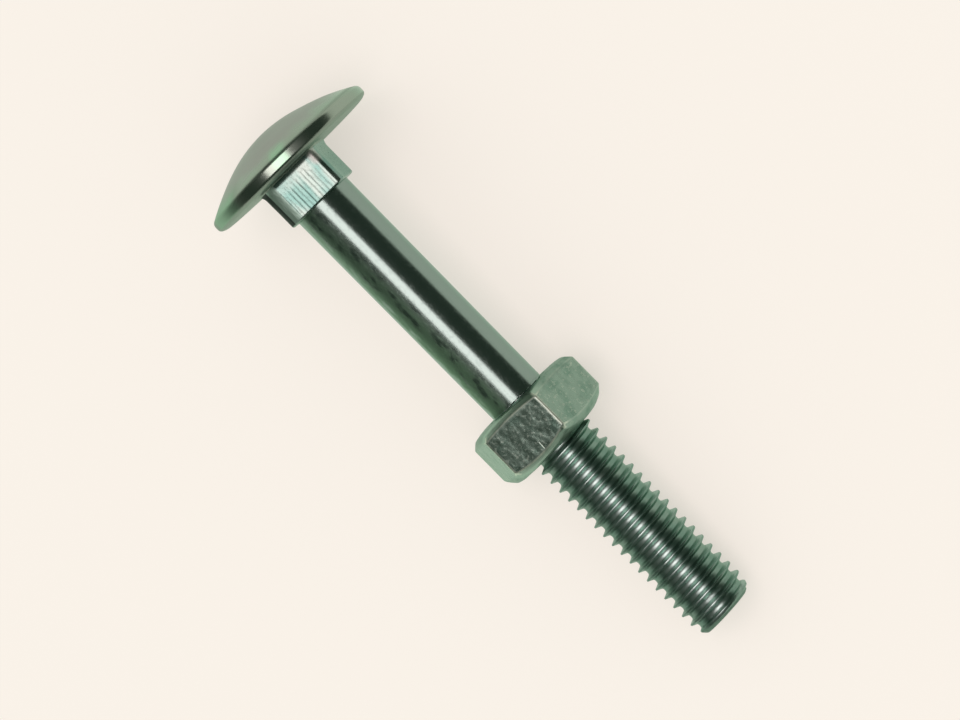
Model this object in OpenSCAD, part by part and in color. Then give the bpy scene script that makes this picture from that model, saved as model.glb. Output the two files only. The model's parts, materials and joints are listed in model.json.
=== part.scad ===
// Carriage bolt of nominal size M6 x 50 with its hexagon nut, lying on its side.
//
// Each piece is drawn in the bolt's own frame: Z runs along the shank, 0 at the bearing face
// of the head and growing towards the thread's end. The finished assembly is laid along +X and
// tipped so that the rim of the head and one flat of the nut rest on the plane Z = 0.
// The screw thread is drawn as its envelope, the plain cylinder that touches the crests.

/* [Head] */
// Diameter of the domed head
head_d = 16.1; // [15.4:0.05:16.6]
// Height of the head above its bearing face
head_h = 3.55; // [3.4:0.05:3.9]
// Radius of the middle of the dome
crown_r = 11.5; // [11:0.25:12]
// Radius of the flatter outer part of the dome
shoulder_r = 20.5; // [19:0.5:22]
// Slope at which the middle of the dome runs into its outer part
crown_slope = 16; // [12:1:18]
// Rounding where the dome meets the rim
rim_top_round = 0.35; // [0.2:0.05:0.4]
// Rounding where the rim meets the bearing face
rim_base_round = 0.5; // [0.3:0.05:0.6]
// Sideways offset of the upset head from the shank
head_offset = 0.45; // [0:0.05:0.5]

/* [Square neck] */
// Width of the neck across its flats
neck_side = 5.92; // [5.6:0.02:6.4]
// Length of the neck from the bearing face
neck_l = 3.65; // [3.4:0.05:4.6]
// Rounding of the two well-filled corners
neck_sharp_round = 0.6; // [0.35:0.05:0.8]
// Rounding of the two duller corners
neck_dull_round = 1.4; // [0.6:0.1:1.6]
// Fillet between the neck and the bearing face
neck_fillet = 0.35; // [0.1:0.05:0.35]
// Rounding of the neck's end edges
neck_end_round = 0.2; // [0.1:0.05:0.25]
// Turn of the neck's flats from the nut's
neck_turn = -6.2; // [-15:0.1:15]

/* [Shank and thread] */
// Length under the head
bolt_l = 49.8; // [48.8:0.1:51.2]
// Diameter of the plain shank at the neck
shank_d = 5.3; // [5.2:0.02:5.5]
// Diameter of the plain shank where the thread begins
shank_end_d = 5.18; // [5.1:0.02:5.4]
// Distance from the head to the start of the thread
thread_start = 25.4; // [25:0.1:26]
// Length over which the thread rises to its full height
run_out = 1; // [0.5:0.1:1.5]
// Diameter over the thread's crests
thread_d = 5.82; // [5.8:0.02:5.96]
// Length of the slight taper that leads a nut on
lead_l = 1; // [0.5:0.1:1.5]
// Diameter at the outer end of that taper
lead_d = 5.2; // [4.8:0.05:5.4]
// Length of the steep cone at the very end
point_l = 0.3; // [0.2:0.05:0.6]
// Diameter of the flat end face
point_d = 4.3; // [3.8:0.05:4.6]

/* [Nut] */
// Width across the flats
nut_flats = 10; // [9.8:0.02:10]
// Height of the nut
nut_h = 4.94; // [4.7:0.02:5.2]
// Distance from the head to the nut's nearer face
nut_place = 25.8; // [25.6:0.1:40]
// Largest radius of the turned outline that trims the corners
nut_trim_r = 5.78; // [5.7:0.02:5.9]
// Rounding of the corners at the face towards the head
nut_inner_round = 1.8; // [1.5:0.05:2]
// How deep that rounding reaches
nut_inner_depth = 1.74; // [1.6:0.02:1.78]
// Rounding of the corners at the face towards the thread's end
nut_outer_round = 2.3; // [2.1:0.05:2.4]
// How deep that rounding reaches
nut_outer_depth = 2.28; // [2:0.02:2.29]
// Running clearance between the thread's crests and the bore, on the radius
bore_clearance = 0.05; // [0.01:0.01:0.1]
// Radius of the countersunk mouths of the bore
mouth_r = 3.3; // [3.1:0.05:3.4]
// Slope of the countersinks from the nut's faces
mouth_slope = 30; // [25:1:45]

/* [Hidden] */
$fn = 96;

// Overlap that makes neighbouring shapes one solid
bond = 0.5;

rim_r = head_d / 2;
crown_centre = [0, crown_r - head_h];
shoulder_centre = crown_centre + (shoulder_r - crown_r) * [-sin(crown_slope), cos(crown_slope)];
crown_edge_r = crown_r * sin(crown_slope);

// Centre of the rounding that touches both the dome's outer part and the rim
rim_top_x = rim_r - rim_top_round;
rim_top_reach = shoulder_r - rim_top_round;
rim_top_centre = [
    rim_top_x,
    shoulder_centre.y - sqrt(pow(rim_top_reach, 2) - pow(rim_top_x - shoulder_centre.x, 2))
];
dome_touch = shoulder_centre + (rim_top_centre - shoulder_centre) * shoulder_r / rim_top_reach;
rim_base_centre = [rim_r - rim_base_round, -rim_base_round];

// Roundings and centres of the neck's four corners, going round from the first quadrant
corner_round = [neck_sharp_round, neck_sharp_round, neck_dull_round, neck_dull_round];
corner_centre = [for (i = [0:3]) (neck_side / 2 - corner_round[i]) * sqrt(2) * heading(45 + 90 * i)];

bore_r = thread_d / 2 + bore_clearance;
nut_inner_centre = [nut_trim_r - nut_inner_round, nut_inner_depth];
nut_outer_centre = [nut_trim_r - nut_outer_round, nut_h - nut_outer_depth];

// The flat's far edge, halfway along, is where the nut touches the ground
nut_touch_r = nut_flats / 2;
nut_touch_z = nut_place + nut_outer_centre.y
    + sqrt(pow(nut_outer_round, 2) - pow(nut_touch_r - nut_outer_centre.x, 2));

// Tilt of the line from that edge that just touches the rounding of the rim
touch_run = nut_touch_z - rim_base_centre.y;
touch_drop = rim_base_centre.x - nut_touch_r;
touch_span = norm([touch_run, touch_drop]);
rest_tilt = atan2(touch_drop, touch_run) + asin(rim_base_round / touch_span);

// Height of the shank's axis above the ground at the bearing face, and the ends of the whole
axis_height = rim_base_centre * [cos(rest_tilt), sin(rest_tilt)] + rim_base_round;
low_x = crown_centre.y * cos(rest_tilt) - crown_r;
high_x = bolt_l * cos(rest_tilt) + point_d / 2 * sin(rest_tilt);

function heading(angle) = [cos(angle), sin(angle)];

// Lays the bolt along +X on the ground, with the origin under the middle of its box
module laid_down() {
    translate([-(low_x + high_x) / 2, -head_offset, axis_height])
        rotate([0, 90 + rest_tilt, 0])
        children();
}

// Half section of the head: a dome of two arcs, a short upright rim and a flat bearing face
module head_outline() {
    difference() {
        intersection() {
            translate([0, -head_h])
                square([rim_r, head_h]);
            union() {
                translate(crown_centre)
                    circle(crown_r);
                intersection() {
                    translate(shoulder_centre)
                        circle(shoulder_r);
                    translate([crown_edge_r, -head_h])
                        square([rim_r, head_h]);
                }
            }
        }
        polygon([
            rim_top_centre,
            [rim_r + bond, rim_top_centre.y],
            [rim_r + bond, -head_h],
            rim_top_centre + (dome_touch - rim_top_centre) * head_h / rim_top_round
        ]);
        translate(rim_base_centre)
            square([rim_base_round + bond, rim_base_round + bond]);
    }
    translate(rim_top_centre)
        circle(rim_top_round);
    translate(rim_base_centre)
        circle(rim_base_round);
}

module head() {
    translate([0, head_offset, 0])
        rotate_extrude()
        head_outline();
}

// The neck's cross-section, with its outline moved out by grow
module neck_section(grow = 0) {
    polygon([
        for (i = [0:3])
            for (side = [0, 1])
                corner_centre[i] + (corner_round[i] + grow) * heading(90 * (i + side))
    ]);
    for (i = [0:3])
        translate(corner_centre[i])
            circle(corner_round[i] + grow);
}

// Carries a moulding round the neck: its child is the moulding's section, measured from the
// neck's surface, once along each flat and once turned about each corner
module round_the_neck() {
    for (i = [0:3]) {
        next = (i + 3) % 4;
        flat_end = neck_side / 2 - corner_round[i];
        rotate(90 * i)
            translate([neck_side / 2, flat_end, 0])
            rotate([90, 0, 0])
            linear_extrude(flat_end + neck_side / 2 - corner_round[next])
            children();
        translate(corner_centre[i])
            rotate_extrude()
            translate([corner_round[i], 0])
            children();
    }
}

module root_fillet() {
    difference() {
        translate([-neck_fillet, -neck_fillet])
            square(2 * neck_fillet);
        translate([neck_fillet, neck_fillet])
            circle(neck_fillet);
    }
}

module end_round() {
    intersection() {
        translate([-neck_end_round, neck_l - neck_end_round])
            circle(neck_end_round);
        translate([-neck_end_round, neck_l - 2 * neck_end_round])
            square([neck_end_round, 2 * neck_end_round]);
    }
}

module neck() {
    rotate(neck_turn) {
        translate([0, 0, -bond])
            linear_extrude(bond + neck_l - neck_end_round)
            neck_section();
        linear_extrude(neck_l)
            neck_section(-neck_end_round);
        round_the_neck()
            root_fillet();
        round_the_neck()
            end_round();
    }
}

// Plain shank, run-out, thread envelope, lead taper and end cone, turned in one
module shank() {
    rotate_extrude()
        polygon([
            [0, 0],
            [shank_d / 2, 0],
            [shank_end_d / 2, thread_start],
            [thread_d / 2, thread_start + run_out],
            [thread_d / 2, bolt_l - point_l - lead_l],
            [lead_d / 2, bolt_l - point_l],
            [point_d / 2, bolt_l],
            [0, bolt_l]
        ]);
}

module carriage_bolt() {
    color("#9aa79c")
        laid_down() {
            head();
            neck();
            shank();
        }
}

// Half section that trims the hexagon's corners, rounder at the outer face
module nut_outline() {
    intersection() {
        square([nut_trim_r, nut_h]);
        union() {
            translate([0, nut_inner_centre.y])
                square([nut_trim_r, nut_outer_centre.y - nut_inner_centre.y]);
            translate(nut_inner_centre)
                circle(nut_inner_round);
            translate(nut_outer_centre)
                circle(nut_outer_round);
            square([nut_outer_centre.x, nut_h]);
        }
    }
}

// The bore and its countersinks, drawn past both faces
module nut_bore() {
    mouth_l = (mouth_r - bore_r) * tan(mouth_slope);
    past = bond * tan(mouth_slope);
    translate([0, 0, -bond])
        cylinder(r = bore_r, h = nut_h + 2 * bond);
    translate([0, 0, -past])
        cylinder(r1 = mouth_r + bond, r2 = bore_r, h = mouth_l + past);
    translate([0, 0, nut_h - mouth_l])
        cylinder(r1 = bore_r, r2 = mouth_r + bond, h = mouth_l + past);
}

module hex_nut() {
    color("#7f8d82")
        laid_down()
        translate([0, 0, nut_place])
        difference() {
            intersection() {
                linear_extrude(nut_h)
                    rotate(30)
                    circle(nut_flats / 2 / cos(30), $fn = 6);
                rotate_extrude()
                    nut_outline();
            }
            nut_bore();
        }
}

carriage_bolt();
hex_nut();
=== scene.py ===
import json
import math
import random

import bmesh
import bpy
from mathutils import Matrix, Vector, noise


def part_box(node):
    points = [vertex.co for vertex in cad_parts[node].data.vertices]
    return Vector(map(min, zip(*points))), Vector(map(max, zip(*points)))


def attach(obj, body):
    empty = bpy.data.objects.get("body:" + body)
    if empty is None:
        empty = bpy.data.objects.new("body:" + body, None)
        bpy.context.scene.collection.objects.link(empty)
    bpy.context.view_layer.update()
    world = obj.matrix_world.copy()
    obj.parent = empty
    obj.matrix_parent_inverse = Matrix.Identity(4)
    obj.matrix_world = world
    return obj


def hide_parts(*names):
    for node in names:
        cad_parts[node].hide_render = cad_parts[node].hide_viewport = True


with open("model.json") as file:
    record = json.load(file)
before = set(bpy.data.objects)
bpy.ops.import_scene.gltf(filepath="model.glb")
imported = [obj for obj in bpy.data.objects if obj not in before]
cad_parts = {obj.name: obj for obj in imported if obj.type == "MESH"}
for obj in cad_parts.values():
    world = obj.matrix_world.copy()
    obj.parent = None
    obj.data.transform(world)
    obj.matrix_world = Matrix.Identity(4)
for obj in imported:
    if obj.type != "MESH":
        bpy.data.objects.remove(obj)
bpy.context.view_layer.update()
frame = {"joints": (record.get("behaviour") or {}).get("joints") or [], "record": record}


# ---------------------------------------------------------------------------------------------
# Carriage bolt: one steel blank with an upset domed head, a square neck under it, a plain shank
# and a rolled right-hand thread, zinc plated and passivated a greyish green.
# It is made in millimetres with its axis on Z and the bearing face at 0, and laid down at the end.
MILLIMETRE = 0.001
along = Vector(frame["joints"][0]["axis"])
across = Vector((0, 1, 0))
mounts = {mount["name"]: mount for mount in frame["record"]["mounts"]}
on_axis = Vector(mounts["threaded_end"]["pos_m"])
to_bearing_face = Vector(mounts["head_bearing"]["pos_m"]) - on_axis
bearing_point = on_axis + along * along.dot(to_bearing_face)
upright = along.cross(across)
facing = Matrix((-upright, across, along)).transposed()
laid_down = Matrix.Translation(bearing_point) @ facing.to_4x4() @ Matrix.Scale(MILLIMETRE, 4)

bolt_low, bolt_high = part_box("carriage_bolt")
head_r = (bolt_high.y - bolt_low.y) / 2 / MILLIMETRE
head_h = 3.55
head_offset = 0.45
dome_offset = 0.15
dome_middle_r = 3.0
head_lean = 0.009
crown_r = 11.5
shoulder_r = 20.5
crown_slope = 16
rim_top_round = 0.45
rim_base_round = 0.35
rim_under_round = 1.2
rim_under_turn = 30
bearing_inner_r = 5.2
rim_rise = 0.2
rim_rise_way = Vector((-0.947, 0.322, 0))
rim_flat = 0.05
rim_flat_way = Vector((-0.969, 0.247, 0))
rim_flat_fade = 66

neck_half = 2.96
neck_l = 3.65
neck_sharp_round = 0.6
neck_dull_round = 1.4
neck_fillet = 0.35
neck_fillet_l = 0.7
neck_end_round = 0.18
neck_turn = -8.2
score_count = 11
score_columns = 6
score_depth = 0.011
fold_depth = 0.012

bolt_l = 49.8
shank_r = 2.65
shank_end_r = 2.59
shank_end_ring = 0.04
thread_start = 25.75
pitch = 1.0
crest_r = 2.91
root_r = 2.39
root_floor_round = 0.6
root_floor_half = 16
root_corner_round = 0.12
crest_crown_round = 0.3
crest_crown_half = 11
crest_corner_round = 0.02
run_out = 0.45
crest_phase = 0.87
crest_wear = 0.05
lead_l = 1.0
lead_r = 2.6
point_l = 0.3
point_r = 2.15
end_slant = 0.06
end_slant_l = 0.5
end_dish = 0.06
end_full = 0.15
end_full_way = Vector((-0.322, -0.947, 0))

ROUND_STEPS = 192
THREAD_STEPS = 128
FLANK_SLOPE = 62
IN_SECTION = (0, -1, 0)
IN_PLAN = (0, 0, 1)


def straight(mesh, tip, end, steps=1):
    """Draws a straight line from a vertex to a point, and returns the vertex at its end."""
    start = tip.co.copy()
    for step in range(steps):
        tip = bmesh.ops.extrude_vert_indiv(mesh, verts=[tip])["verts"][0]
        tip.co = start.lerp(Vector(end), (step + 1) / steps)
    return tip


def arc(mesh, tip, centre, degrees, steps, axis=IN_SECTION):
    """Draws an arc from a vertex about a centre, and returns the vertex at its end."""
    turn = math.radians(degrees)
    swept = bmesh.ops.spin(mesh, geom=[tip], cent=centre, axis=axis, angle=turn, steps=steps)
    return next(item for item in swept["geom_last"] if isinstance(item, bmesh.types.BMVert))


def go_round(mesh, steps, rise=0.0):
    """Spins what is drawn and has no face yet once round Z, with a rise for a screw thread."""
    drawn = [item for item in [*mesh.verts, *mesh.edges] if not item.link_faces]
    step_up = (0, 0, rise / steps)
    bmesh.ops.spin(mesh, geom=drawn, cent=(0, 0, 0), axis=(0, 0, 1), dvec=step_up,
                   angle=math.tau, steps=steps, use_merge=rise == 0)
    bmesh.ops.remove_doubles(mesh, verts=mesh.verts, dist=0.001)


def corners(parts):
    """The vertices of some edges or faces, each given once."""
    return list(dict.fromkeys(vert for part in parts for vert in part.verts))


def next_ring(mesh, ring, height, spread):
    """Extrudes a ring of edges to a height, spread from the axis by a factor, and returns it."""
    made = bmesh.ops.extrude_edge_only(mesh, edges=ring)["geom"]
    points = [item for item in made if isinstance(item, bmesh.types.BMVert)]
    bmesh.ops.scale(mesh, vec=(spread, spread, 0), verts=points)
    bmesh.ops.translate(mesh, vec=(0, 0, height), verts=points)
    return [item for item in made if isinstance(item, bmesh.types.BMEdge)]


def open_edges(mesh, height):
    """The edges of the open rings at a height."""
    return [edge for edge in mesh.edges if edge.is_boundary
            and all(abs(vert.co.z - height) < 0.001 for vert in edge.verts)]


def take_ring(neighbours):
    """Takes one closed ring out of a table of neighbours. Returns its vertices and their angles,
    from the lowest angle up, with the first one given again at the end."""
    vert = next(iter(neighbours))
    ring = []
    while vert in neighbours:
        ring.append(vert)
        vert = next((other for other in neighbours.pop(vert) if other in neighbours), None)
    if sum(one.co.xy.cross(other.co.xy) for one, other in zip(ring, ring[1:] + ring[:1])) < 0:
        ring.reverse()
    turns = [math.atan2(vert.co.y, vert.co.x) for vert in ring]
    first = turns.index(min(turns))
    ring = ring[first:] + ring[:first + 1]
    turns = turns[first:] + turns[:first] + [turns[first] + math.tau]
    return ring, turns


def join_rings(mesh, height):
    """Joins the two open rings at a height, going round both of them by angle. They lie in one plane
    round one centre, so bridge_loops can't tell which way round to match them."""
    neighbours = {}
    for edge in open_edges(mesh, height):
        for vert in edge.verts:
            neighbours.setdefault(vert, []).append(edge.other_vert(vert))
    first, first_turns = take_ring(neighbours)
    second, second_turns = take_ring(neighbours)
    i = j = 0
    while i + 1 < len(first) or j + 1 < len(second):
        next_first = first_turns[i + 1] if i + 1 < len(first) else math.inf
        next_second = second_turns[j + 1] if j + 1 < len(second) else math.inf
        if next_first <= next_second:
            mesh.faces.new((first[i], second[j], first[i + 1]))
            i += 1
        else:
            mesh.faces.new((first[i], second[j], second[j + 1]))
            j += 1


def ease(value, low, high):
    """Runs smoothly from 0 at low to 1 at high."""
    share = min(max((value - low) / (high - low), 0), 1)
    return share * share * (3 - 2 * share)


# The head: a dome of two arcs, a rounded rim and the flat bearing face. The rim has spread more to
# one side than the dome, leans a little and is taller on the side that lies uppermost.
bolt = bmesh.new()
slope = math.radians(crown_slope)
crown_centre = Vector((0, 0, crown_r - head_h))
shoulder_centre = crown_centre + (shoulder_r - crown_r) * Vector((-math.sin(slope), 0, math.cos(slope)))
rim_top_x = head_r - rim_top_round
rim_reach = shoulder_r - rim_top_round
rim_slope = math.asin((rim_top_x - shoulder_centre.x) / rim_reach)
rim_top_centre = Vector((rim_top_x, 0, shoulder_centre.z - rim_reach * math.cos(rim_slope)))
under_turn = math.radians(rim_under_turn)
under_reach = rim_under_round - rim_base_round
rim_base_centre = Vector((head_r - rim_base_round, 0,
                          under_reach * math.cos(under_turn) - rim_under_round))
under_way = Vector((math.sin(under_turn), 0, math.cos(under_turn)))
rim_under_centre = rim_base_centre - under_reach * under_way

tip = bolt.verts.new((0, 0, -head_h))
tip = arc(bolt, tip, crown_centre, crown_slope, 10)
tip = arc(bolt, tip, shoulder_centre, math.degrees(rim_slope) - crown_slope, 14)
tip = arc(bolt, tip, rim_top_centre, 90 - math.degrees(rim_slope), 5)
tip = straight(bolt, tip, (head_r, 0, rim_base_centre.z))
tip = arc(bolt, tip, rim_base_centre, 90 - rim_under_turn, 7)
tip = arc(bolt, tip, rim_under_centre, rim_under_turn, 5)
straight(bolt, tip, (bearing_inner_r, 0, 0))
go_round(bolt, ROUND_STEPS)
for vert in bolt.verts:
    spread = vert.co.xy.length
    on_dome = ease(-vert.co.z, -rim_base_centre.z, -rim_top_centre.z)
    on_dome *= ease(spread, dome_middle_r, rim_top_x)
    vert.co.z -= rim_rise * on_dome * max(0, rim_rise_way.dot(vert.co) / head_r)
    if spread > bearing_inner_r:
        off_flat = 1 - rim_flat_way.dot(vert.co) / spread
        vert.co.xy *= 1 - rim_flat * math.exp(-rim_flat_fade * off_flat) / spread
    vert.co.y += dome_offset + (head_offset - dome_offset) * ease(spread, dome_middle_r, head_r)
    vert.co.z += head_lean * vert.co.y * ease(spread, bearing_inner_r, head_r)

# The square neck: its outline drawn round from one flat, then raised ring by ring
before_neck = set(bolt.verts)
roundings = (neck_sharp_round, neck_sharp_round, neck_dull_round, neck_dull_round)
tip = bolt.verts.new((neck_half, neck_dull_round - neck_half, 0))
for quarter, rounding in enumerate(roundings):
    quarter_turn = Matrix.Rotation(math.radians(90 * quarter), 3, "Z")
    flat_end = neck_half - rounding
    columns = 16 if quarter % 2 else score_count * score_columns
    tip = straight(bolt, tip, quarter_turn @ Vector((neck_half, flat_end, 0)), columns)
    corner_centre = quarter_turn @ Vector((flat_end, flat_end, 0))
    tip = arc(bolt, tip, corner_centre, 90, round(16 * rounding), IN_PLAN)
outline = [vert for vert in bolt.verts if vert not in before_neck]
bmesh.ops.remove_doubles(bolt, verts=outline, dist=0.001)

levels = []
for step in range(9):
    turn = math.radians(90 * step / 8)
    levels.append((neck_fillet_l * (1 - math.cos(turn)), neck_half + neck_fillet * (1 - math.sin(turn))))
straight_l = neck_l - neck_end_round - neck_fillet_l
for step in range(1, 13):
    levels.append((neck_fillet_l + straight_l * step / 12, neck_half))
for step in range(1, 5):
    turn = math.radians(90 * step / 4)
    levels.append((neck_l - neck_end_round * (1 - math.sin(turn)),
                   neck_half - neck_end_round * (1 - math.cos(turn))))

ring = [edge for edge in bolt.edges if not edge.link_faces]
half_now = levels[0][1]
bmesh.ops.scale(bolt, vec=(half_now / neck_half, half_now / neck_half, 1), verts=corners(ring))
for height, half in levels[1:]:
    ring = next_ring(bolt, ring, height, half / half_now)
    half_now = half

# The die's score marks on two opposite flats, shallow waves that fade out short of the head, and
# lengthwise folds that are deepest at the dull corners
random.seed(7)
neck = [vert for vert in bolt.verts if vert not in before_neck]
score_top = neck_half - neck_sharp_round
score_step = (2 * neck_half - neck_sharp_round - neck_dull_round) / (score_count * score_columns)
scores = {(side, score): (random.uniform(0.5, 1.2), random.uniform(0.5, 1.3))
          for side in (-1, 1) for score in range(score_count)}
for vert in neck:
    side = math.copysign(1, vert.co.x)
    column = round((score_top - vert.co.y) / score_step)
    on_flat = abs(vert.co.x) > neck_half - neck_end_round and 0 < column < score_count * score_columns
    if on_flat:
        fade_from, strength = scores[side, column // score_columns]
        wave = (1 - math.cos(math.tau * column / score_columns)) / 2
        vert.co.x -= side * score_depth * strength * wave * ease(vert.co.z, fade_from, fade_from + 0.6)
    corner = min(abs(vert.co.x), -vert.co.y) - (neck_half - neck_dull_round)
    fold = noise.noise(Vector((2 * vert.co.x, 2 * vert.co.y, 0.5 * vert.co.z)))
    vert.co.xy *= 1 + fold_depth * (0.1 + 0.9 * ease(corner, 0, 0.5)) * fold
neck_turned = Matrix.Rotation(math.radians(neck_turn), 3, "Z")
bmesh.ops.rotate(bolt, cent=(0, 0, 0), matrix=neck_turned, verts=neck)
join_rings(bolt, 0)

# The plain shank, a little thinner towards the thread
tip = bolt.verts.new((shank_r, 0, neck_l))
tip = straight(bolt, tip, (shank_end_r, 0, thread_start - shank_end_ring), 24)
straight(bolt, tip, (shank_end_r, 0, thread_start))
go_round(bolt, THREAD_STEPS)
join_rings(bolt, neck_l)
neck_foot = [edge for edge in bolt.edges if all(
    abs(vert.co.z - neck_l) < 0.001 and vert.co.xy.length < shank_r + 0.001 for vert in edge.verts)]


def bend(round_r, half, corner_round):
    """How a rounded flat of the thread bends into the flank: the corner's centre beside the flat's
    middle, then the corner's end, each as a distance along the axis and a drop off the flat."""
    half, flank = math.radians(half), math.radians(FLANK_SLOPE)
    centre_along = (round_r - corner_round) * math.sin(half)
    centre_drop = round_r - (round_r - corner_round) * math.cos(half)
    end_along = centre_along + corner_round * math.sin(flank)
    return centre_along, centre_drop, end_along, centre_drop - corner_round * math.cos(flank)


def draw_thread(mesh, root, crest, start, turns):
    """Draws the section of a thread from the middle of a root: a nearly flat root and a nearly flat
    crest with rounded corners, and straight flanks between them."""
    floor_along, floor_drop, low_along, low_drop = bend(
        root_floor_round, root_floor_half, root_corner_round)
    crown_along, crown_drop, top_along, top_drop = bend(
        crest_crown_round, crest_crown_half, crest_corner_round)
    floor_turn = FLANK_SLOPE - root_floor_half
    crown_turn = FLANK_SLOPE - crest_crown_half
    tip = mesh.verts.new((root, 0, start))
    for turn in range(turns):
        low = start + turn * pitch
        middle = low + pitch / 2
        high = low + pitch
        tip = arc(mesh, tip, (root + root_floor_round, 0, low), -root_floor_half, 2)
        tip = arc(mesh, tip, (root + floor_drop, 0, low + floor_along), -floor_turn, 2)
        tip = straight(mesh, tip, (crest - top_drop, 0, middle - top_along), 2)
        tip = arc(mesh, tip, (crest - crown_drop, 0, middle - crown_along), crown_turn, 2)
        tip = arc(mesh, tip, (crest - crest_crown_round, 0, middle), 2 * crest_crown_half, 2)
        tip = arc(mesh, tip, (crest - crown_drop, 0, middle + crown_along), crown_turn, 2)
        tip = straight(mesh, tip, (root + low_drop, 0, high - low_along), 2)
        tip = arc(mesh, tip, (root + floor_drop, 0, high - floor_along), -floor_turn, 2)
        tip = arc(mesh, tip, (root + root_floor_round, 0, high), -root_floor_half, 2)


def cut_ends(mesh, parts, low, high):
    """Trims faces to between two heights, and returns the vertices that are left."""
    for height, up in ((low, -1), (high, 1)):
        kept = [face for face in parts if face.is_valid]
        geometry = dict.fromkeys(item for face in kept for item in [face, *face.edges, *face.verts])
        cut = bmesh.ops.bisect_plane(mesh, geom=list(geometry), plane_co=(0, 0, height),
                                     plane_no=(0, 0, up), clear_outer=True, dist=0.0005)
        parts = [item for item in cut["geom"] if isinstance(item, bmesh.types.BMFace)]
    return corners(parts)


# The rolled thread: its section spun round with a rise of one pitch, then brought down to the
# shank at its run-out and to the cone at its end, which is fuller on one side
before_thread = set(bolt.faces)
first_root = thread_start - 2 * pitch + crest_phase - pitch / 2 - thread_start % pitch
draw_thread(bolt, root_r, crest_r, first_root, math.ceil(bolt_l - first_root) + 1)
go_round(bolt, THREAD_STEPS, pitch)
thread = [face for face in bolt.faces if face not in before_thread]
for vert in cut_ends(bolt, thread, thread_start, bolt_l):
    height = vert.co.z
    rise = min((height - thread_start) / run_out, 1)
    fuller = end_full * (1 + end_full_way.dot(vert.co) / vert.co.xy.length) / 2
    taper = crest_r - (crest_r - lead_r - fuller / 2) * (height - bolt_l + point_l + lead_l) / lead_l
    cone = point_r + fuller + (lead_r - point_r - fuller / 2) * (bolt_l - height) / point_l
    worn = crest_wear * ease(vert.co.xy.length, root_r, crest_r) * abs(noise.noise(0.9 * vert.co))
    radius = shank_end_r + (vert.co.xy.length - worn - shank_end_r) * rise
    vert.co.xy = vert.co.xy.normalized() * min(radius, taper, cone)
join_rings(bolt, thread_start)

# The end face, slightly dished and not quite square to the axis
ring = open_edges(bolt, bolt_l)
for depth, spread in ((0, 0.9), (end_dish / 2, 0.75), (end_dish * 5 / 6, 0.4)):
    ring = next_ring(bolt, ring, bolt_l - depth, spread)
bmesh.ops.pointmerge(bolt, verts=corners(ring), merge_co=(0, 0, bolt_l - end_dish))
for vert in bolt.verts:
    vert.co.z -= end_slant * vert.co.y * ease(vert.co.z, bolt_l - end_slant_l, bolt_l)


class Value:
    """A number or vector in a material's nodes: arithmetic on it adds Math nodes."""

    def __init__(self, nodes, socket):
        self.nodes = nodes
        self.socket = socket

    def __add__(self, other):
        return self.nodes.math("ADD", self, other)

    def __radd__(self, other):
        return self.nodes.math("ADD", other, self)

    def __sub__(self, other):
        return self.nodes.math("SUBTRACT", self, other)

    def __rsub__(self, other):
        return self.nodes.math("SUBTRACT", other, self)

    def __mul__(self, other):
        return self.nodes.math("MULTIPLY", self, other)

    def __rmul__(self, other):
        return self.nodes.math("MULTIPLY", other, self)


class Nodes:
    """The nodes of one material or of the world."""

    def __init__(self, owner):
        owner.use_nodes = True
        self.tree = owner.node_tree
        self.tree.nodes.clear()

    def add(self, kind, settings=None, inputs=None, output=0):
        """Adds a node with its settings and inputs, and returns one of its outputs."""
        node = self.tree.nodes.new(kind)
        for name, setting in (settings or {}).items():
            setattr(node, name, setting)
        for name, given in (inputs or {}).items():
            if isinstance(given, Value):
                self.tree.links.new(given.socket, node.inputs[name])
            else:
                node.inputs[name].default_value = given
        return Value(self, node.outputs[output]) if node.outputs else None

    def math(self, operation, first, second=0.0):
        return self.add("ShaderNodeMath", {"operation": operation}, {0: first, 1: second})

    def vector(self, operation, first, second, output=0):
        return self.add("ShaderNodeVectorMath", {"operation": operation}, {0: first, 1: second}, output)

    def coordinate(self, place, axis):
        """One of a place's coordinates: 0 for x, 1 for y, 2 for z."""
        return self.add("ShaderNodeSeparateXYZ", {}, {0: place}, axis)

    def ramp(self, value, low, high, start=0.0, end=1.0):
        """Runs smoothly from start at low to end at high."""
        return self.add("ShaderNodeMapRange", {"interpolation_type": "SMOOTHSTEP"},
                        {"Value": value, "From Min": low, "From Max": high,
                         "To Min": start, "To Max": end})

    def blend(self, share, first, second):
        """Mixes two colours."""
        return self.add("ShaderNodeMix", {"data_type": "RGBA"}, {0: share, 6: first, 7: second}, 2)

    def noise(self, place, scale, stretch=(1, 1, 1), detail=2.0):
        """Cloudy noise from 0 to 1, with a number of lumps to the millimetre along each axis."""
        stretched = self.vector("MULTIPLY", place, stretch)
        return self.add("ShaderNodeTexNoise", {},
                        {"Vector": stretched, "Scale": scale, "Detail": detail})

    def scratch(self, place, start, end, width):
        """1 along the middle of a short straight scratch, and 0 from its edges outwards."""
        run = Vector(end) - Vector(start)
        from_start = self.vector("SUBTRACT", place, start)
        along_run = self.vector("DOT_PRODUCT", from_start, run / run.length_squared, 1)
        share = self.add("ShaderNodeClamp", {}, {"Value": along_run})
        nearest = self.add("ShaderNodeVectorMath", {"operation": "SCALE"}, {0: run, "Scale": share})
        return self.ramp(self.vector("DISTANCE", from_start, nearest, 1), 0, width / 2, 1, 0)


def bolt_place(nodes):
    """Position in the bolt's own frame, in millimetres."""
    location, turned, _ = laid_down.decompose()
    return nodes.add("ShaderNodeMapping", {"vector_type": "TEXTURE"},
                     {"Vector": nodes.add("ShaderNodeTexCoord", output="Object"),
                      "Location": location, "Rotation": turned.to_euler(), "Scale": (MILLIMETRE,) * 3})


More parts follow.
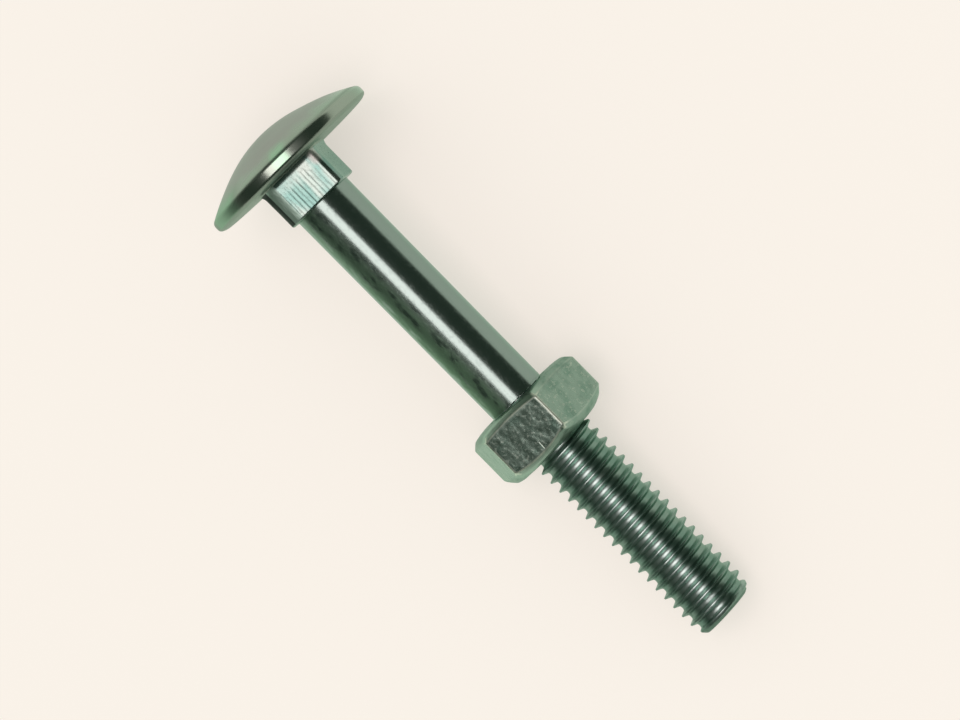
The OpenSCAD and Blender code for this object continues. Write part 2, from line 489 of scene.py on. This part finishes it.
def plated(nodes, colour, roughness, relief):
    """Finishes a metal surface: its relief is a height in millimetres."""
    bump = nodes.add("ShaderNodeBump", {}, {"Strength": 1.0, "Distance": MILLIMETRE, "Height": relief})
    shader = nodes.add("ShaderNodeBsdfPrincipled", {},
                       {"Base Color": colour, "Metallic": 1.0, "Roughness": roughness, "Normal": bump,
                        "Specular Tint": EDGE_TINT})
    nodes.add("ShaderNodeOutputMaterial", {}, {"Surface": shader})


EDGE_TINT = (0.75, 0.93, 0.83, 1)
DOME_GREY = (0.325, 0.33, 0.32, 1)
DOME_GREEN = (0.285, 0.365, 0.30, 1)
RIM_PALE = (0.5, 0.5, 0.46, 1)
# Lighter green painted on the rim as reflection
RIM_REFLECTION_GREEN = (0.29, 0.48, 0.34, 1)


def dome_finish():
    """Satin zinc of the head, warm grey in the middle and greener and smoother at the rim, with a knock
    where the rim lies uppermost, and two lighter green patches there that are painted reflection."""
    material = bpy.data.materials.new("head_zinc")
    nodes = Nodes(material)
    place = bolt_place(nodes)
    drop = nodes.coordinate(place, 0)
    side = nodes.coordinate(place, 1)
    height = nodes.coordinate(place, 2)
    cloud = nodes.noise(place, 0.6)
    grain = nodes.noise(place, 9.0, detail=3.0)
    rim = nodes.ramp(height + 0.8 * cloud, -1.9, -0.9)
    knock = nodes.scratch(place, (-7.5, -2.45, -1.35), (-7.4, -2.9, -0.8), 0.14)
    bloom = nodes.scratch(place, (-7.0, 4.4, -1.3), (-7.0, 4.4, -0.5), 3.0)
    bloom = nodes.math("MAXIMUM", 0.45 * bloom, nodes.ramp(side, -1, -3, 0, 0.8))
    edges = nodes.ramp(height, -1.45, -1.2) * nodes.ramp(height, -0.98, -1.15)
    edges = nodes.math("MAXIMUM", edges, nodes.ramp(height, -0.34, -0.2))
    bloom = nodes.math("MAXIMUM", bloom, 0.8 * edges)

    # Two patches of lighter green painted on the rim where it lies uppermost: painted reflection, not a
    # tint of the zinc
    one_patch = nodes.ramp(side, 1.5, 2.1) * nodes.ramp(side, 3.6, 2.8)
    other_patch = nodes.ramp(side, -2.2, -3.4) * nodes.ramp(side, -6.6, -6)
    uppermost = nodes.ramp(drop, -1.5, -4) * nodes.ramp(height, -0.2, -0.4)
    colour = nodes.blend(rim, DOME_GREY, DOME_GREEN)
    colour = nodes.blend(rim * uppermost * (one_patch + other_patch), colour, RIM_REFLECTION_GREEN)
    colour = nodes.blend(0.7 * knock, colour, RIM_PALE)
    roughness = 0.34 - 0.16 * rim + 0.06 * cloud + 0.3 * knock + 0.3 * bloom * rim
    plated(nodes, colour, roughness, 0.0006 * grain + 0.002 * cloud - 0.01 * knock)
    return material


SHANK_BRIGHT = (0.235, 0.325, 0.285, 1)
# Green of the bloom, partly painted reflection
SHANK_GREEN = (0.235, 0.415, 0.275, 1)
NECK_TEAL = (0.155, 0.295, 0.25, 1)
NECK_SIDE = (0.115, 0.245, 0.205, 1)
NECK_ROSE = (0.285, 0.385, 0.33, 1)
NECK_PALE = (0.5, 0.72, 0.6, 1)
# Pale colour painted near the head as highlight
NECK_HIGHLIGHT_PALE = (0.5, 0.55, 0.49, 1)
# Near-black colour for painted shade
NECK_SHADE = (0.07, 0.09, 0.08, 1)


def shank_finish():
    """Bright zinc of the neck and shank, drawn lengthways, with a duller bloom on one side of the shank,
    whose greener colour is partly painted reflection, and teal and rose tints on the neck. Paler colour
    near the head is painted highlight; a dark band where the neck meets the head and a dark line along
    the dull corner are painted shade."""
    material = bpy.data.materials.new("shank_zinc")
    nodes = Nodes(material)
    place = bolt_place(nodes)
    side = nodes.coordinate(place, 1)
    height = nodes.coordinate(place, 2)
    cloud = nodes.noise(place, 0.5, (1, 1, 0.4))
    streak = nodes.noise(place, 2.2, (1, 1, 0.12))
    fine_streak = nodes.noise(place, 7.0, (1, 1, 0.08))
    folds = nodes.noise(place, 2.5, (1, 1, 0.3))
    grain = nodes.noise(place, 9.0, (1, 1, 0.5), 3.0)
    patches = nodes.noise(place, 1.6, (1, 1, 0.4), 4.0)
    on_neck = nodes.ramp(height, neck_l, neck_l - 0.2)
    bloom = nodes.ramp(side, 0.35, -0.7) * nodes.ramp(patches, 0.34, 0.54, 0.3)
    bloom = bloom * nodes.ramp(height, 3, 20, 0.6) * nodes.ramp(side, -2.2, -1.9) * (1 - on_neck)
    speckle = nodes.ramp(nodes.noise(place, 5.0, (1, 1, 0.6)), 0.5, 0.65)
    knock = nodes.scratch(place, (0.66, 2.53, 12.5), (0.72, 2.5, 12.9), 0.16)

    aside = nodes.vector("DOT_PRODUCT", place, end_full_way, 1)
    dull_corner = on_neck * nodes.ramp(aside, 1.95, 2.2)
    # Painted highlight: a paler patch at the sharp corner by the head, which is also rougher and folded,
    # and a faint paler band near the head on every face
    pale_highlight = nodes.scratch(place, (-2.55, 2.95, 0.3), (-2.55, 2.95, 0.9), 1.5)
    # Painted shade: near-black colour in a band where the neck meets the head, and in a line along the
    # outer edge of the dull corner
    painted_shade = nodes.ramp(height + 0.25 * patches, 0.35, 0.12)
    painted_shade = nodes.math("MAXIMUM", painted_shade, nodes.ramp(aside, 2.8, 2.9))

    # The bloom's greener colour is partly painted reflection: lighter green where this side of the shank
    # reflects dark; its roughness is the duller finish
    colour = nodes.blend(bloom, SHANK_BRIGHT, SHANK_GREEN)
    rose = nodes.ramp(cloud + 0.3 * streak, 0.55, 0.75) * nodes.ramp(aside, -2.6, -2.1, 0.3)
    tint = nodes.blend(rose, NECK_TEAL, NECK_ROSE)
    tint = nodes.blend(nodes.ramp(aside, -2.4, -2.8), tint, NECK_SIDE)
    highlight_near_head = nodes.math("MAXIMUM", pale_highlight, nodes.ramp(height, 1.6, 0.9, 0, 0.15))
    tint = nodes.blend(highlight_near_head, tint, NECK_HIGHLIGHT_PALE)
    tint = nodes.blend(dull_corner, tint, NECK_PALE)
    colour = nodes.blend(on_neck, colour, tint)
    colour = nodes.blend(painted_shade * on_neck, colour, NECK_SHADE)
    roughness = 0.17 + 0.38 * bloom + 0.05 * cloud + 0.06 * speckle + 0.2 * knock + 0.2 * pale_highlight
    roughness = roughness + 0.04 * on_neck + 0.35 * dull_corner
    relief = 0.0005 * grain + 0.0015 * streak + 0.0008 * fine_streak - 0.01 * knock
    relief = relief + 0.07 * folds * dull_corner + 0.01 * folds * pale_highlight + 0.004 * speckle * bloom
    plated(nodes, colour, roughness, relief)
    return material


THREAD_TEAL = (0.165, 0.285, 0.23, 1)
THREAD_GREY = (0.22, 0.33, 0.275, 1)
# Pale colour painted along the thread's top line as highlight
THREAD_HIGHLIGHT_PALE = (0.47, 0.62, 0.56, 1)
FLANK_PALE = (0.6, 0.73, 0.68, 1)
# Dark green painted on the end as shade
THREAD_END_SHADE = (0.12, 0.2, 0.155, 1)


def thread_finish():
    """Teal zinc of the thread, with fine lines round it from the rolling dies and a few scuffs on the
    last turns. A pale band along the top and bottom lines and paler flanks there are painted highlight;
    the flanks are a little paler all round, and the end is painted darker as shade."""
    material = bpy.data.materials.new("thread_zinc")
    nodes = Nodes(material)
    place = bolt_place(nodes)
    side = nodes.coordinate(place, 1)
    height = nodes.coordinate(place, 2)
    radius = nodes.vector("DISTANCE", nodes.vector("MULTIPLY", place, (1, 1, 0)), (0, 0, 0), 1)
    cloud = nodes.noise(place, 0.8)
    lines = nodes.noise(place, 6.0, (0.15, 0.15, 1))
    scuffs = nodes.ramp(nodes.noise(place, 2.5, (1, 1, 2)), 0.56, 0.66)
    scuffs = scuffs * nodes.ramp(height, 46.5, 48.5)
    flank = nodes.ramp(radius, root_r + 0.04, root_r + 0.12)
    flank = flank * nodes.ramp(radius, crest_r - 0.03, crest_r - 0.1)
    flank = flank * nodes.ramp(height, bolt_l - 0.6, bolt_l - 0.9)
    # A pale band along the top and bottom of the thread, where side is near zero: painted highlight
    # along the line that lies uppermost
    pale_highlight = nodes.ramp(nodes.math("ABSOLUTE", side - 0.15), 1.2, 0.5)

    colour = nodes.blend(nodes.ramp(cloud, 0.35, 0.7), THREAD_TEAL, THREAD_GREY)
    colour = nodes.blend(0.8 * pale_highlight, colour, THREAD_HIGHLIGHT_PALE)
    colour = nodes.blend(flank * (0.35 + 0.65 * pale_highlight), colour, FLANK_PALE)
    # Darker green painted over the last half millimetre of the end: painted shade
    colour = nodes.blend(nodes.ramp(height, bolt_l - 0.45, bolt_l - 0.2), colour, THREAD_END_SHADE)
    roughness = 0.31 + 0.06 * cloud + 0.2 * scuffs + nodes.ramp(side, 0, -1, 0, 0.1)
    plated(nodes, colour, roughness, 0.0004 * lines + 0.004 * scuffs)
    return material


def make_piece(mesh, name, sharp, finishes, choose):
    """Turns a finished mesh's faces outward, lays it down and makes an object of it. The function
    choose picks the finish of a face by the face's middle."""
    bmesh.ops.recalc_face_normals(mesh, faces=mesh.faces)
    for face in mesh.faces:
        face.smooth = True
        face.material_index = choose(face.calc_center_median())
    for edge in sharp:
        edge.smooth = False
    bmesh.ops.transform(mesh, matrix=laid_down, verts=mesh.verts)
    data = bpy.data.meshes.new(name)
    mesh.to_mesh(data)
    mesh.free()
    for finish in finishes:
        data.materials.append(finish)
    piece = bpy.data.objects.new(name, data)
    bpy.context.scene.collection.objects.link(piece)
    return piece


head_finish_end = 0.1
carriage_bolt = make_piece(bolt, "plated_carriage_bolt", neck_foot,
                           [dome_finish(), shank_finish(), thread_finish()],
                           lambda middle: (middle.z > head_finish_end) + (middle.z > thread_start))
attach(carriage_bolt, "bolt")
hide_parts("carriage_bolt")


# ---------------------------------------------------------------------------------------------
# Hexagon nut: a separate cold-formed steel nut, tapped M6 and plated like the bolt.
# Its corners are rounded off at both faces, more at the face away from the head. It screws along
# the thread, and its own thread runs in the bolt's grooves.
nut_half = 5.0
nut_place = 25.8
nut_h = 4.94
nut_corner_round = 0.2
inner_bevel_w = 0.42
inner_bevel_l = 0.32
outer_bevel_w = 0.38
outer_bevel_l = 0.28
inner_fall = 0.45
outer_fall = 0.9
fall_from_r = 3.9
inner_fall_centre = Vector((0.032, 0.095, 0))
outer_fall_centre = Vector((-0.074, -0.218, 0))
inner_face_rings = (3.7, 4.0, 4.3)
outer_face_rings = (4.5, 4.3, 4.1, 3.8)
mouth_r = 3.3
mouth_margin = 0.1
mouth_slope = 30
nut_minor_r = 2.48
thread_gap = 0.03
edge_round = 0.025
edge_middle_l = 0.06
edge_end_l = 0.14
face_slant = 0.026
FLAT_COLUMNS = 36
FLAT_ROWS = 12

nut = bmesh.new()
# Marks the nut's edge band, later painted pale as wear and as highlight
edge_wear_and_highlight = nut.verts.layers.float.new("edge_wear_and_highlight")

# The tapped bore, widened at both mouths by a countersink
nut_top = nut_place + nut_h
first_root = nut_place - 2 * pitch + crest_phase - pitch / 2 - nut_place % pitch
nut_turns = math.ceil(nut_top - first_root) + 1
draw_thread(nut, root_r + thread_gap, crest_r + thread_gap, first_root, nut_turns)
go_round(nut, THREAD_STEPS, pitch)
for vert in cut_ends(nut, nut.faces[:], nut_place, nut_top):
    depth = min(vert.co.z - nut_place, nut_top - vert.co.z)
    countersink = mouth_r - depth / math.tan(math.radians(mouth_slope))
    vert.co.xy = vert.co.xy.normalized() * max(vert.co.xy.length, nut_minor_r, countersink)
bore = set(nut.verts)

# The outside: a hexagon drawn round with rounded corners, then raised ring by ring from the mouth
# of the bore at one face to the mouth at the other, over the bevels at both ends of the flats
corner_r = nut_half / math.cos(math.radians(30))
corner_centre_r = corner_r - nut_corner_round / math.cos(math.radians(30))
nut_flat_end = corner_centre_r / 2
tip = nut.verts.new((nut_half, -nut_flat_end, 0))
for side in range(6):
    side_turn = Matrix.Rotation(math.radians(60 * side), 3, "Z")
    corner_turn = Matrix.Rotation(math.radians(60 * side + 30), 3, "Z")
    tip = straight(nut, tip, side_turn @ Vector((nut_half, nut_flat_end, 0)), FLAT_COLUMNS)
    tip = arc(nut, tip, corner_turn @ Vector((corner_centre_r, 0, 0)), 60, 4, IN_PLAN)
bmesh.ops.remove_doubles(nut, verts=[vert for vert in nut.verts if vert not in bore], dist=0.001)

inner_edge = nut_half - inner_bevel_w
outer_edge = nut_half - outer_bevel_w
inner_levels = [(0, apothem, 0) for apothem in (mouth_r + mouth_margin, *inner_face_rings, inner_edge)]
for step in range(1, 4):
    inner_levels.append((inner_bevel_l * step / 4, nut_half - inner_bevel_w * (1 - step / 4), 0))
# The third number marks the edge band, which gets pale worn colour and painted highlight
inner_levels += [(inner_bevel_l, nut_half - edge_round, 1),
                 (inner_bevel_l + edge_middle_l, nut_half - edge_round / 5, 0.7),
                 (inner_bevel_l + edge_end_l, nut_half, 0)]
outer_levels = [(outer_bevel_l + edge_end_l, nut_half, 0),
                (outer_bevel_l + edge_middle_l, nut_half - edge_round / 5, 0.7),
                (outer_bevel_l, nut_half - edge_round, 1)]
for step in (2, 1):
    outer_levels.append((outer_bevel_l * step / 3, nut_half - outer_bevel_w * (1 - step / 3), 0))
outer_levels += [(0, apothem, 0) for apothem in (outer_edge, *outer_face_rings, mouth_r + mouth_margin)]
levels = [(nut_place + depth, apothem, worn) for depth, apothem, worn in inner_levels]
first_row, last_row = levels[-1][0], nut_top - outer_levels[0][0]
for row in range(1, FLAT_ROWS):
    levels.append((first_row + (last_row - first_row) * row / FLAT_ROWS, nut_half, 0))
levels += [(nut_top - depth, apothem, worn) for depth, apothem, worn in outer_levels]

ring = [edge for edge in nut.edges if not edge.link_faces]
apothem_now = levels[0][1]
bmesh.ops.scale(nut, vec=(apothem_now / nut_half, apothem_now / nut_half, 1), verts=corners(ring))
bmesh.ops.translate(nut, vec=(0, 0, nut_place), verts=corners(ring))
for height, apothem, worn in levels[1:]:
    ring = next_ring(nut, ring, height, apothem / apothem_now)
    apothem_now = apothem
    for vert in corners(ring):
        vert[edge_wear_and_highlight] = worn

# The faces are round towards the bore, and fall away towards the corners: least at the face
# towards the head, and not quite evenly round the bore
flat_ways = [Matrix.Rotation(math.radians(60 * side), 3, "Z") @ Vector((1, 0, 0)) for side in range(6)]
for vert in [vert for vert in nut.verts if vert not in bore]:
    apothem = max(way.dot(vert.co) for way in flat_ways)
    spread = vert.co.xy.length
    near_corner = ease(spread / apothem, 1.13, 1.15)
    depth = min(vert.co.z - nut_place, nut_top - vert.co.z)
    if depth > 0.01:
        vert[edge_wear_and_highlight] = max(vert[edge_wear_and_highlight], 0.8 * near_corner)
    vert.co.xy *= 1 + (apothem / spread - 1) * (1 - ease(apothem, mouth_r, 4.4))
    inner = vert.co.z < nut_place + nut_h / 2
    fall_centre = inner_fall_centre if inner else outer_fall_centre
    share = max((vert.co.xy - fall_centre.xy).length - fall_from_r, 0) / (corner_r - fall_from_r)
    fall = (inner_fall if inner else -outer_fall) * share ** 1.5
    vert.co.z += fall * (1 - 2 * depth / nut_h)
join_rings(nut, nut_place)
join_rings(nut, nut_top)

# The outer face isn't quite square to the axis
for vert in nut.verts:
    grip = ease(vert.co.z, nut_place + nut_h / 2, nut_top) * ease(vert.co.xy.length, 3.0, 3.6)
    vert.co.z += face_slant * end_full_way.dot(vert.co) * grip

NUT_GREEN = (0.175, 0.295, 0.23, 1)
NUT_GREY = (0.235, 0.355, 0.285, 1)
# Paler band colour painted on the uppermost flat as sheen
NUT_BAND_SHEEN = (0.33, 0.48, 0.385, 1)
NUT_PALE = (0.68, 0.82, 0.68, 1)
KNOCKS = (((-4.6, 2.2, 32.0), (-4.7, 2.0, 32.1)), ((-4.0, -3.0, 30.6), (-4.0, -3.1, 30.8)))


def nut_finish():
    """Zinc over a tumbled surface: small dents and pale specks on the flats, smoother round the faces,
    and a few knocks. The edges are pale, partly from wear and partly as painted highlight, which is much
    stronger round the flat that lies uppermost, where the bands round the faces are painted paler too,
    as sheen."""
    material = bpy.data.materials.new("nut_zinc")
    nodes = Nodes(material)
    place = bolt_place(nodes)
    drop = nodes.coordinate(place, 0)
    height = nodes.coordinate(place, 2)
    from_middle = nodes.math("ABSOLUTE", height - nut_place - nut_h / 2)
    turned = nodes.ramp(from_middle, 1.6, 2.1)
    blotches = nodes.ramp(nodes.noise(place, 0.9, detail=3.0), 0.5, 0.68)
    dents = nodes.noise(place, 1.2, detail=1.5)
    grain = nodes.noise(place, 6.0, detail=3.0)
    specks = nodes.ramp(nodes.noise(place, 3.6), 0.56, 0.68)
    knocks = nodes.scratch(place, (-5.0, 0.43, 29.4), (-5.0, 0.40, 30.0), 0.17)
    for start, end in KNOCKS:
        knocks = nodes.math("MAXIMUM", knocks, nodes.scratch(place, start, end, 0.2))
    # Pale edges: wear all round, and painted highlight much stronger round the flat that lies uppermost
    wear_and_highlight = nodes.add("ShaderNodeAttribute", {"attribute_name": "edge_wear_and_highlight"}, output=2)
    wear_and_highlight = nodes.ramp(wear_and_highlight, 0.15, 0.8) * nodes.ramp(dents, 0.3, 0.5, 0.5)
    wear_and_highlight = wear_and_highlight * (0.15 + 0.85 * nodes.ramp(drop, -4.3, -4.7))

    colour = nodes.blend(blotches, NUT_GREY, NUT_GREEN)
    # Paler bands round the faces, only on the flat that lies uppermost: painted sheen
    colour = nodes.blend(turned * nodes.ramp(drop, -3.6, -4.3), colour, NUT_BAND_SHEEN)
    pale = nodes.math("MAXIMUM", wear_and_highlight, 0.3 * specks * (1 - turned) + 0.6 * knocks)
    colour = nodes.blend(pale, colour, NUT_PALE)
    roughness = 0.27 + 0.1 * specks + 0.15 * knocks + 0.22 * wear_and_highlight + 0.13 * turned
    calm = 1 - 0.85 * turned
    plated(nodes, colour, roughness, calm * (0.05 * dents + 0.001 * grain) - 0.012 * knocks)
    return material


hex_nut = make_piece(nut, "plated_hex_nut", [], [nut_finish()], lambda middle: 0)
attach(hex_nut, "nut")
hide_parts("hex_nut")


# ---------------------------------------------------------------------------------------------
# Table and light: a plain cream table, one oblong softbox overhead and a dim room round it.
# The table is lifted a little where it is seen, so that the shadow on it stays soft. The room is
# pale below the horizon, and evens out the light on anything matt.
CREAM = (0.93, 0.871, 0.791, 1)
SHADOW_LIFT = 0.6
floor_half = 1.5
floor_mesh = bmesh.new()
bmesh.ops.create_grid(floor_mesh, x_segments=2, y_segments=2, size=floor_half)
floor_data = bpy.data.meshes.new("table")
floor_mesh.to_mesh(floor_data)
floor_mesh.free()
table = bpy.data.objects.new("table", floor_data)
bpy.context.scene.collection.objects.link(table)
table_paint = bpy.data.materials.new("table_paint")
nodes = Nodes(table_paint)
paint = nodes.add("ShaderNodeBsdfDiffuse", {}, {"Color": CREAM})
glow = nodes.add("ShaderNodeEmission", {}, {"Color": CREAM, "Strength": 1.0})
camera_ray = nodes.add("ShaderNodeLightPath", output="Is Camera Ray")
glossy_ray = nodes.add("ShaderNodeLightPath", output="Is Glossy Ray")
transmission_ray = nodes.add("ShaderNodeLightPath", output="Is Transmission Ray")
seen = nodes.math("MAXIMUM", camera_ray, nodes.math("MAXIMUM", glossy_ray, transmission_ray))
surface = nodes.add("ShaderNodeMixShader", {}, {0: SHADOW_LIFT * seen, 1: paint, 2: glow})
nodes.add("ShaderNodeOutputMaterial", {}, {"Surface": surface})
floor_data.materials.append(table_paint)

softbox_h = 2.0
softbox_near_y = -0.32
softbox_far_y = 0.70
softbox_l = 1.54
softbox_radiance = 2.75
lamp_data = bpy.data.lights.new("softbox", "AREA")
lamp_data.shape = "RECTANGLE"
lamp_data.size = softbox_l
lamp_data.size_y = softbox_far_y - softbox_near_y
lamp_data.color = (1.17, 0.94, 0.99)
lamp_data.energy = softbox_radiance * math.pi * lamp_data.size * lamp_data.size_y
lamp = bpy.data.objects.new("softbox", lamp_data)
lamp.location = (0, (softbox_far_y + softbox_near_y) / 2, softbox_h)
bpy.context.scene.collection.objects.link(lamp)

ROOM_DARK = (0.056, 0.07, 0.056, 1)
FILL = (0.72, 0.78, 0.775, 1)
room = bpy.data.worlds.new("room")
bpy.context.scene.world = room
room.cycles.sampling_method = "NONE"
nodes = Nodes(room)
direction = nodes.add("ShaderNodeTexCoord", output="Generated")
height = nodes.coordinate(direction, 2)
camera_ray = nodes.add("ShaderNodeLightPath", output="Is Camera Ray")
glossy_ray = nodes.add("ShaderNodeLightPath", output="Is Glossy Ray")
transmission_ray = nodes.add("ShaderNodeLightPath", output="Is Transmission Ray")
dim_room = nodes.blend(nodes.ramp(height, 0.0, 0.04), CREAM, ROOM_DARK)
fill = nodes.blend(camera_ray, FILL, CREAM)
shown = nodes.blend(nodes.math("MAXIMUM", glossy_ray, transmission_ray), fill, dim_room)
sky = nodes.add("ShaderNodeBackground", {}, {"Color": shown, "Strength": 1.0})
nodes.add("ShaderNodeOutputWorld", {}, {"Surface": sky})


# ---------------------------------------------------------------------------------------------
# Camera: a long lens that looks steeply down on the bolt, with the head at the upper left.
view_distance = 0.4
view_lean = math.radians(18.8)
view_back = math.radians(1.1)
view_roll = math.radians(45.42)
view_width = 0.0768
view_middle = 21.54 * MILLIMETRE
sensor = 36.0

towards = (upright * math.cos(view_lean) + across * math.sin(view_lean)) * math.cos(view_back)
towards -= along * math.sin(view_back)
sideways = along.cross(towards).normalized()
down_bolt = towards.cross(sideways)
right = down_bolt * math.cos(view_roll) - sideways * math.sin(view_roll)
above = -down_bolt * math.sin(view_roll) - sideways * math.cos(view_roll)
camera_data = bpy.data.cameras.new("camera")
camera_data.sensor_width = sensor
camera_data.lens = sensor * view_distance / view_width
camera_data.clip_start = 0.01
camera = bpy.data.objects.new("camera", camera_data)
view_point = bearing_point + along * view_middle + towards * view_distance
view_axes = Matrix((right, above, towards)).transposed().to_4x4()
camera.matrix_world = Matrix.Translation(view_point) @ view_axes
bpy.context.scene.collection.objects.link(camera)
bpy.context.scene.camera = camera
bpy.context.scene.view_settings.view_transform = "Standard"
